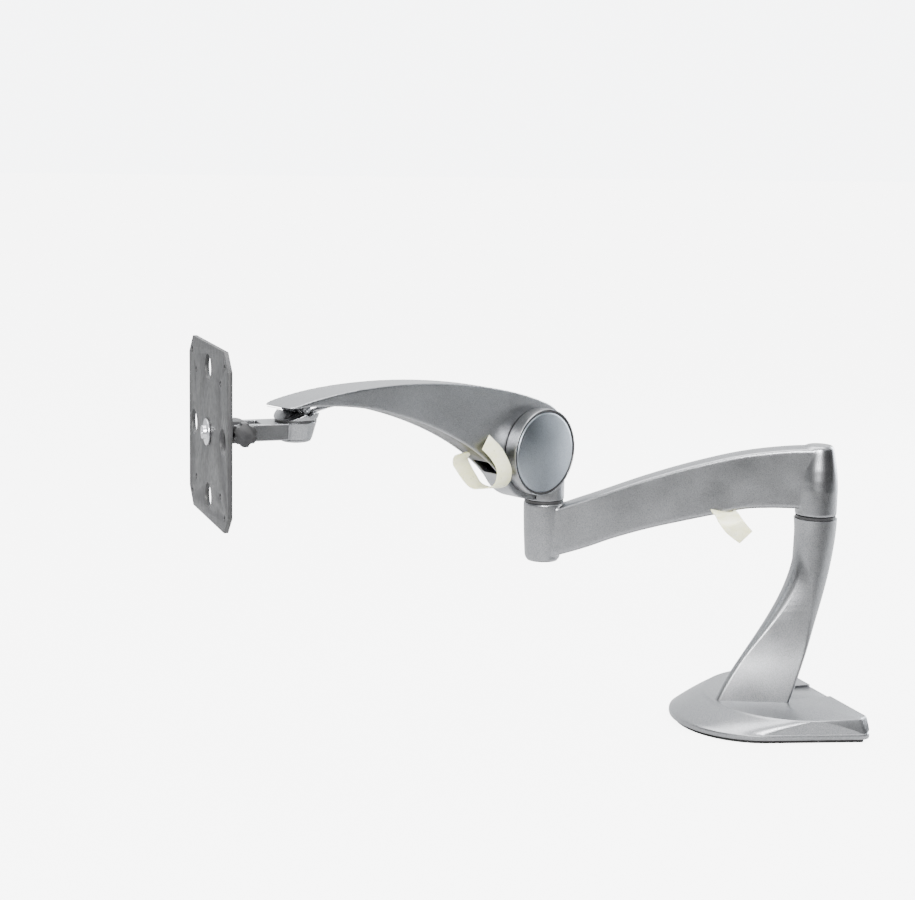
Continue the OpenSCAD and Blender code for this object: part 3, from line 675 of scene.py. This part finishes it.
def build():
    base_casting()
    column_casting()
    collar_ring("column_gap_ring", "column_ring", COLUMN_TOP, AT_COLUMN, "base")
    lower_arm_casting()
    collar_ring("elbow_gap_ring", "elbow_ring", ELBOW_SEAT, AT_ELBOW, "lower_arm")
    strap("lower_cable_strap", "lower_strap", LOWER_STRAP_PATH, lambda t: 20 - 6 * t, 1.2,
          (1, 0.1, 0.12), AT_LOWER_ARM, "lower_arm")
    hub_knuckle()
    hub_cap()
    hub_cap_seal()
    hub_cover_far()
    upper_arm_shell()
    strap("upper_cable_strap", "upper_strap", UPPER_STRAP_PATH, lambda t: 15, 1.1,
          (1, 0, 0.1), AT_ELBOW, "upper_arm")
    rounded_copy("tip_knuckle", "tip", SILVER)
    rounded_copy("swivel_collar", "collar", SILVER)
    edged_copy("collar_cap", "collar", SILVER, 0.3)
    edged_copy("rear_cover", "base", SILVER, 0.5)
    edged_copy("vesa_plate", "screen_plate", POWDER, 0.4)
    edged_copy("tilt_block", "tilt_head", POWDER, 0.5)
    edged_copy("tilt_knob", "collar", PLASTIC, 0.5)
    edged_copy("base_plate", "base", POWDER, 0.2)
    edged_copy("base_pad", "base", RUBBER, 0.3)


PLAIN_FINISH = {
    "steel": STEEL, "bronze": BRONZE, "black_plastic": PLASTIC, "black_rubber": RUBBER,
    "black_steel": POWDER, "silver_casting": SILVER, "silver_cap": CAP, "cream_plastic": CREAM}


def frame_bodies():
    """The CAD body of every node."""
    bodies = frame["record"]["behaviour"]["bodies"]
    return {node: body for body, nodes in bodies.items() for node in nodes}


def finish_small_parts():
    """Inner and small CAD nodes keep their shape, with a small bevel, and take the right finish."""
    slots = {row["node"]: row["material_slot"] for row in frame["record"]["subparts"]}
    for name, body in frame_bodies().items():
        if not frame["nodes"][name].hide_render:
            slot = slots[name]
            edged_copy(name, body, PLAIN_FINISH[slot], 0.25)


# ---- studio ----------------------------------------------------------------------------------

# The floor and the sky look nearly white to the camera only: BACKDROP is close to the floor's tone there.
FLOOR_TONE = 0.55
FLOOR_GLOW = 12
FLOOR_GLOW_SHARE = 0.55
BACKDROP = 6.8
FLOOR_FAR = 12
FLOOR_NEAR = 0.42


def area_light(name, place, target, size, power, color=(1, 1, 1)):
    light = bpy.data.lights.new(name, "AREA")
    light.shape = "RECTANGLE"
    light.size, light.size_y = size
    light.energy = power
    light.color = color
    obj = bpy.data.objects.new(name, light)
    obj.location = place
    obj.rotation_euler = (Vector(target) - Vector(place)).to_track_quat("-Z", "Y").to_euler()
    bpy.context.scene.collection.objects.link(obj)


def sky_strength(tree, vector):
    """Sky light that is bright overhead and beyond the arm, and dim on the camera's side."""
    split = tree.nodes.new("ShaderNodeSeparateXYZ")
    tree.links.new(vector, split.inputs["Vector"])
    ramps = []
    for axis, start, end, low, high in (("Z", 0.15, 0.8, 0.06, 1.5), ("X", 0.0, -0.75, 0.0, 2.2)):
        ramp = tree.nodes.new("ShaderNodeMapRange")
        ramp.interpolation_type = "SMOOTHSTEP"
        ramp.inputs["From Min"].default_value = start
        ramp.inputs["From Max"].default_value = end
        ramp.inputs["To Min"].default_value = low
        ramp.inputs["To Max"].default_value = high
        tree.links.new(split.outputs[axis], ramp.inputs["Value"])
        ramps.append(ramp.outputs["Result"])
    brighter = tree.nodes.new("ShaderNodeMath")
    brighter.operation = "MAXIMUM"
    tree.links.new(ramps[0], brighter.inputs[0])
    tree.links.new(ramps[1], brighter.inputs[1])
    return brighter.outputs["Value"]


def lift_to_white(tree, shader):
    """Makes a surface look almost white to the camera, but not brighter to the object on it."""
    glow = tree.nodes.new("ShaderNodeEmission")
    glow.inputs["Strength"].default_value = FLOOR_GLOW
    seen = tree.nodes.new("ShaderNodeLightPath")
    share = tree.nodes.new("ShaderNodeMath")
    share.operation = "MULTIPLY"
    share.inputs[1].default_value = FLOOR_GLOW_SHARE
    mix = tree.nodes.new("ShaderNodeMixShader")
    tree.links.new(seen.outputs["Is Camera Ray"], share.inputs[0])
    tree.links.new(share.outputs["Value"], mix.inputs["Fac"])
    tree.links.new(shader.outputs["BSDF"], mix.inputs[1])
    tree.links.new(glow.outputs["Emission"], mix.inputs[2])
    tree.links.new(mix.outputs["Shader"], tree.nodes["Material Output"].inputs["Surface"])


def studio():
    world = bpy.data.worlds.new("studio")
    world.use_nodes = True
    tree = world.node_tree
    sky = tree.nodes["Background"]
    sky.inputs["Color"].default_value = (0.96, 0.98, 1, 1)
    place = tree.nodes.new("ShaderNodeTexCoord")
    seen = tree.nodes.new("ShaderNodeLightPath")
    backdrop = tree.nodes.new("ShaderNodeMix")
    backdrop.inputs["B"].default_value = BACKDROP
    tree.links.new(seen.outputs["Is Camera Ray"], backdrop.inputs["Factor"])
    tree.links.new(sky_strength(tree, place.outputs["Generated"]), backdrop.inputs["A"])
    tree.links.new(backdrop.outputs["Result"], sky.inputs["Strength"])
    bpy.context.scene.world = world
    floor_mesh = bpy.data.meshes.new("floor")
    far, near = FLOOR_FAR, FLOOR_NEAR
    floor_mesh.from_pydata([(-far, -far, 0), (near, -far, 0), (near, far, 0), (-far, far, 0)], [],
                           [(0, 1, 2, 3)])
    floor = bpy.data.objects.new("floor", floor_mesh)
    bpy.context.scene.collection.objects.link(floor)
    paint = bpy.data.materials.new("floor_white")
    paint.use_nodes = True
    shader = paint.node_tree.nodes["Principled BSDF"]
    shader.inputs["Base Color"].default_value = (FLOOR_TONE, FLOOR_TONE, FLOOR_TONE, 1)
    shader.inputs["Roughness"].default_value = 0.9
    lift_to_white(paint.node_tree, shader)
    floor_mesh.materials.append(paint)
    area_light("overhead", (-0.3, -0.2, 1.7), (-0.05, -0.2, 0.15), (1.8, 1.4), 62)
    area_light("front_high", (1.4, -0.7, 0.95), (0, -0.03, 0.07), (0.8, 0.5), 72)
    area_light("back_right", (-0.6, 1.3, 0.5), (-0.05, -0.1, 0.18), (0.8, 0.9), 44, (0.9, 0.95, 1))


CAMERA_PLACE = (1.2390, -0.7423, 0.452)
CAMERA_HEADING = 160
CAMERA_PITCH = 10
CAMERA_LEAN = 1.25


def camera():
    data = bpy.data.cameras.new("camera")
    data.sensor_width = 36
    data.lens = 74.75
    obj = bpy.data.objects.new("camera", data)
    heading, pitch = math.radians(CAMERA_HEADING), math.radians(CAMERA_PITCH)
    level = Vector((math.cos(heading), math.sin(heading), 0))
    ahead = level * math.cos(pitch) - Vector((0, 0, math.sin(pitch)))
    right = Vector((math.sin(heading), -math.cos(heading), 0))
    up = right.cross(ahead)
    turn = Matrix((right, up, -ahead)).transposed().to_4x4()
    lean = Matrix.Rotation(math.radians(CAMERA_LEAN), 4, "Z")
    obj.matrix_world = Matrix.Translation(CAMERA_PLACE) @ turn @ lean
    bpy.context.scene.collection.objects.link(obj)
    bpy.context.scene.camera = obj


build()
finish_small_parts()
studio()
camera()
